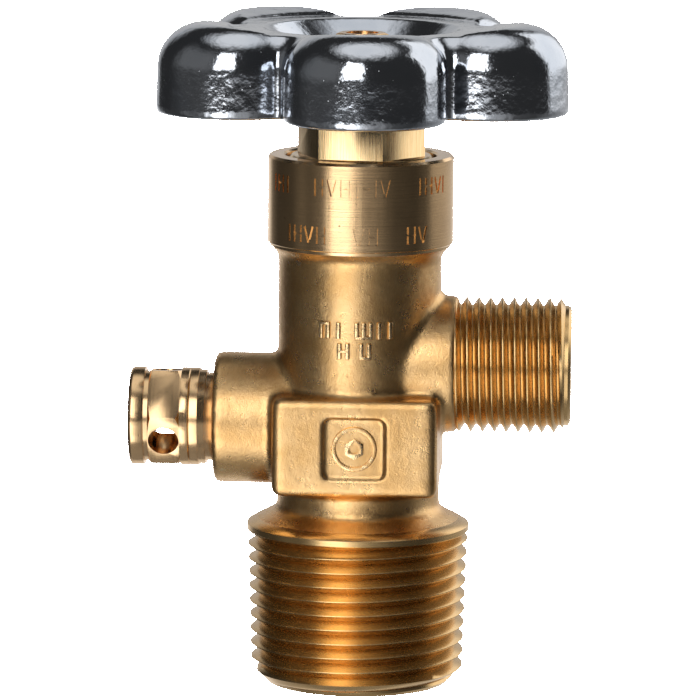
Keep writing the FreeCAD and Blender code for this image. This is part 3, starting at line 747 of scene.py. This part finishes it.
nylon_finish = moulded("nylon_natural", (0.72, 0.69, 0.60, 1), (0.62, 0.58, 0.48, 1), 0.42)
seal_finish = moulded("seal_white", (0.83, 0.83, 0.81, 1), (0.74, 0.74, 0.71, 1), 0.38)
rubber_finish = moulded("seal_rubber", (0.02, 0.02, 0.02, 1), (0.035, 0.033, 0.03, 1), 0.55)
refinish(spindle_finish, "lower_spindle", "seat_retainer")
refinish(nylon_finish, "seat_insert", "spring_seat_washer")
refinish(seal_finish, "bonnet_gasket", "stem_thrust_washer", "backup_ring_lower",
         "backup_ring_upper")
refinish(rubber_finish, "stem_o_ring")


def copy_of(name, new_name, bevel, angle=25, dissolve=0.4):
    """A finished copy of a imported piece: its triangles merged, flats cleaned, edges broken."""
    piece = frame["nodes"][name].copy()
    piece.data = frame["nodes"][name].data.copy()
    bpy.context.scene.collection.objects.link(piece)
    piece.parent = None
    piece.name = new_name
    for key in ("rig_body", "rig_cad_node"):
        del piece[key]
    edit(piece)
    bpy.ops.mesh.remove_doubles(threshold=0.001 * mm)
    bpy.ops.mesh.dissolve_limited(angle_limit=math.radians(dissolve))
    close_edit()
    soft_edges(piece, bevel, angle)
    return piece


stem = copy_of("upper_stem", "valve_stem", 0.12 * mm)
is_part(stem, "stem", spindle_finish, "machined_brass", "upper_stem")


# ---- Relief plug ---------------------------------------------------------------------------
# A hexagon plug with a round flange, a neck, a button end and three vent holes. It screws into
# the relief boss and clamps a copper gasket, a thin nickel disc and a slip ring.

plug_finish = turned_brass("turned_brass_plug", "X", 0.19, 1.2, 0.12)
plug = copy_of("relief_plug", "vented_plug", 0.16 * mm)
is_part(plug, "valve", plug_finish, "machined_brass", "relief_plug")
copper_finish = turned_brass("annealed_copper", "X", 0.30, 1.0, 0.1, (0.92, 0.50, 0.36, 1))
nickel_finish = turned_brass("nickel_foil", "X", 0.24, 0.6, 0.0, (0.66, 0.62, 0.56, 1))
refinish(copper_finish, "relief_gasket")
refinish(nickel_finish, "rupture_disc")
refinish(plug_finish, "disc_slip_ring")


# ---- Bonnet --------------------------------------------------------------------------------
# A hexagon of drawn brass bar with a round flange, screwed down into the collar. Drawing leaves
# fine upright lines on its flats.


def drawn_brass():
    """Bar brass with upright drawing lines and rubbed patches."""
    material, shade, place = material_start("drawn_brass")
    lines = grain(shade, place, 0.16 * mm, 3.0, 3.0, (1, 1, 0.03))
    fine = grain(shade, place, 0.06 * mm, 2.0, 6.0, (1, 1, 0.05))
    clouds = grain(shade, place, 4.0 * mm, 4.0, 2.0)
    colour = lines.over(0.35, 0.7).blend((0.80, 0.54, 0.26, 1), (0.95, 0.70, 0.38, 1))
    roughness = 0.18 + (lines - 0.5) * 0.14 + (clouds - 0.5) * 0.1
    height = lines + fine * 0.4
    return material_end(material, colour, roughness, height, 0.14, depth=0.03 * mm)


bonnet_finish = drawn_brass()
bonnet = copy_of("bonnet", "hexagon_bonnet", 0.2 * mm)
is_part(bonnet, "valve", bonnet_finish, "machined_brass", "bonnet")


# ---- Handwheel -----------------------------------------------------------------------------
# A die-cast zinc wheel with five lobes, a sunk track and a dish round the stem, polished roughly
# and chromed. The casting's skin leaves ripples and small pits under the chrome.

wheel_grid = 0.4 * mm
wheel_top = 102.5 * mm
wheel_draft = 0.035
draft_start = 20 * mm
draft_run = 8 * mm


def chrome():
    """Bright chrome over a rippled casting."""
    material, shade, place = material_start("chrome_over_casting")
    ripples = grain(shade, place, 1.6 * mm, 2.0, 2.0, rough=0.5)
    creases = grain(shade, place, 0.7 * mm, 3.0, 5.0, rough=0.6)
    waves = grain(shade, place, 6.0 * mm, 2.0, 7.0)
    spots = pits(shade, place, 1.5 * mm, 0.09, 4.0)
    rubbed = grain(shade, place, 9.0 * mm, 4.0, 11.0)
    colour = rubbed.over(0.4, 0.75).blend((0.60, 0.63, 0.68, 1), (0.50, 0.54, 0.60, 1))
    colour = (spots * 0.5).blend(colour, (0.75, 0.76, 0.78, 1))
    roughness = 0.11 + (rubbed - 0.5) * 0.07 + spots * 0.2
    height = ripples * 0.9 + creases * 0.35 + waves * 1.6 - spots * 0.3
    return material_end(material, colour, roughness, height, 0.5, depth=0.12 * mm)


wheel = copy_of("handwheel", "five_lobe_wheel", 0)
modify(wheel, "REMESH", mode="VOXEL", voxel_size=wheel_grid)
modify(wheel, "SMOOTH", factor=0.5, iterations=3)
for corner in wheel.data.vertices:
    reach = math.hypot(corner.co.x, corner.co.y)
    if reach > draft_start:
        outward = min(1, (reach - draft_start) / draft_run)
        lean = wheel_draft * max(0, wheel_top - corner.co.z) * outward
        corner.co.x *= (reach + lean) / reach
        corner.co.y *= (reach + lean) / reach
soft_edges(wheel, 0, 60)
chrome_finish = chrome()
is_part(wheel, "stem", chrome_finish, "chromed_zinc", "handwheel")


# ---- Spring, washers and nut ---------------------------------------------------------------
# A cone of spring wire pushes the wheel up against a plated washer and a thin brass nut on the
# stem's end.

spring_finish = turned_brass("spring_steel", "Z", 0.25, 0.8, 0.0, (0.42, 0.42, 0.43, 1))
zinc_finish = turned_brass("zinc_plated_steel", "Z", 0.28, 1.0, 0.1, (0.66, 0.68, 0.70, 1))
refinish(spring_finish, "handwheel_spring")
refinish(zinc_finish, "handwheel_washer")
nut = copy_of("handwheel_nut", "stem_nut", 0.12 * mm)
is_part(nut, "stem", spindle_finish, "machined_brass", "handwheel_nut")


# ---- Table, light and camera ---------------------------------------------------------------
# The valve stands on a plain pale table. The studio round it has a soft box in front on the
# left, a larger one behind on the right, a bright strip low in front and dark sides.

bpy.ops.mesh.primitive_plane_add(size=8, location=(0, 0, packed_box[0].z))
table = bpy.context.object
table.name = "table"
table_paint = bpy.data.materials.new("table_paint")
table_paint.use_nodes = True
paint = Shade(table_paint.node_tree)
table_paint.node_tree.nodes.clear()
matt = paint.node("ShaderNodeBsdfDiffuse", sockets={"Color": (0.86, 0.86, 0.87, 1)})
glow = paint.node("ShaderNodeEmission", sockets={"Color": (1, 1, 1, 1), "Strength": 30.0})
seen = paint.node("ShaderNodeLightPath", output="Is Camera Ray")
lit = paint.node("ShaderNodeMixShader", sockets={0: seen * 0.97, 1: matt, 2: glow})
paint.node("ShaderNodeOutputMaterial", sockets={"Surface": lit})
table.data.materials.append(table_paint)
table.visible_glossy = False

world = bpy.data.worlds.new("studio")
bpy.context.scene.world = world
world.use_nodes = True
world.node_tree.nodes.clear()
sky = Shade(world.node_tree)
direction = sky.node("ShaderNodeTexCoord", output="Generated")
east = sky.node("ShaderNodeSeparateXYZ", sockets={0: direction}, output="X")
north = sky.node("ShaderNodeSeparateXYZ", sockets={0: direction}, output="Y")
up = sky.node("ShaderNodeSeparateXYZ", sockets={0: direction}, output="Z")
camera_turn = 3.0
round_it = sky.maths("ARCTAN2", east, north * -1.0) * (180 / math.pi) - camera_turn
round_it = sky.node("ShaderNodeMath", {"operation": "WRAP"}, {0: round_it, 1: 180.0, 2: -180.0})
lift = sky.maths("ARCSINE", up) * (180 / math.pi)


def band(value, low, high, soft):
    """1 between low and high, with soft ends."""
    return value.over(low - soft, low + soft) * (1 - value.over(high - soft, high + soft))


def around(stops):
    """Light round the horizon, from (degrees right of the camera, brightness) stops."""
    share = (round_it + 180.0) / 360.0
    ramp = [((turn + 180) / 360, (bright, bright, bright, 1)) for turn, bright in stops]
    return share.node("ShaderNodeValToRGB", {"stops": ramp}, {"Fac": share})


low_light = around([
    (-180, 0.8), (-158, 0.5), (-140, 0.12), (-126, 0.02), (-93, 0.02), (-78, 0.12), (-66, 0.06),
    (-50, 0.16), (-46, 0.3), (-40, 1.2), (-34, 2.9), (-16, 2.9), (-8, 1.3), (4, 0.42),
    (20, 0.27), (30, 0.14), (42, 0.05), (72, 0.02), (88, 0.08), (102, 0.16), (122, 0.28),
    (155, 0.5), (180, 0.8)])
low_band = band(lift, -58, -6.1, 0.8)
key_box = band(round_it, -33, -3, 1.5) * band(lift, 5, 50, 2.5)
rear_box = band(round_it, 96, 158, 5) * band(lift, -4, 48, 5)
rear_left_box = 1 - band(round_it, -148, 160, 8)
rear_left_box = rear_left_box * band(lift, -30, 30, 6)
left_fill = band(round_it, -100, -36, 15) * band(lift, 0, 45, 10)
top_box = lift.over(55, 75)
under = 1 - lift.over(-70, -50)
light = (0.03 + low_light * low_band + key_box * 3.0 + rear_box * 1.25 + rear_left_box * 0.5
         + left_fill * 0.12 + top_box * 0.9 + under * 0.25)
seen = sky.node("ShaderNodeLightPath", output="Is Camera Ray")
light = light * (1 - seen) + seen * 60.0
background = sky.node("ShaderNodeBackground", sockets={
    "Color": (1, 1, 1, 1), "Strength": light})
sky.node("ShaderNodeOutputWorld", sockets={"Surface": background})
bpy.context.scene.view_settings.view_transform = "Standard"

bpy.ops.object.camera_add(location=(43.04 * mm, -848.9 * mm, 182.0 * mm))
camera = bpy.context.object
camera.rotation_euler = (Matrix.Rotation(math.radians(camera_turn), 3, "Z")
                         @ Matrix.Rotation(math.radians(81.27), 3, "X")
                         @ Matrix.Rotation(math.radians(0.5), 3, "Z")).to_euler()
camera.data.sensor_width = 36
camera.data.lens = 287.49
camera.data.clip_start = 0.01
camera.data.clip_end = 20
bpy.context.scene.camera = camera
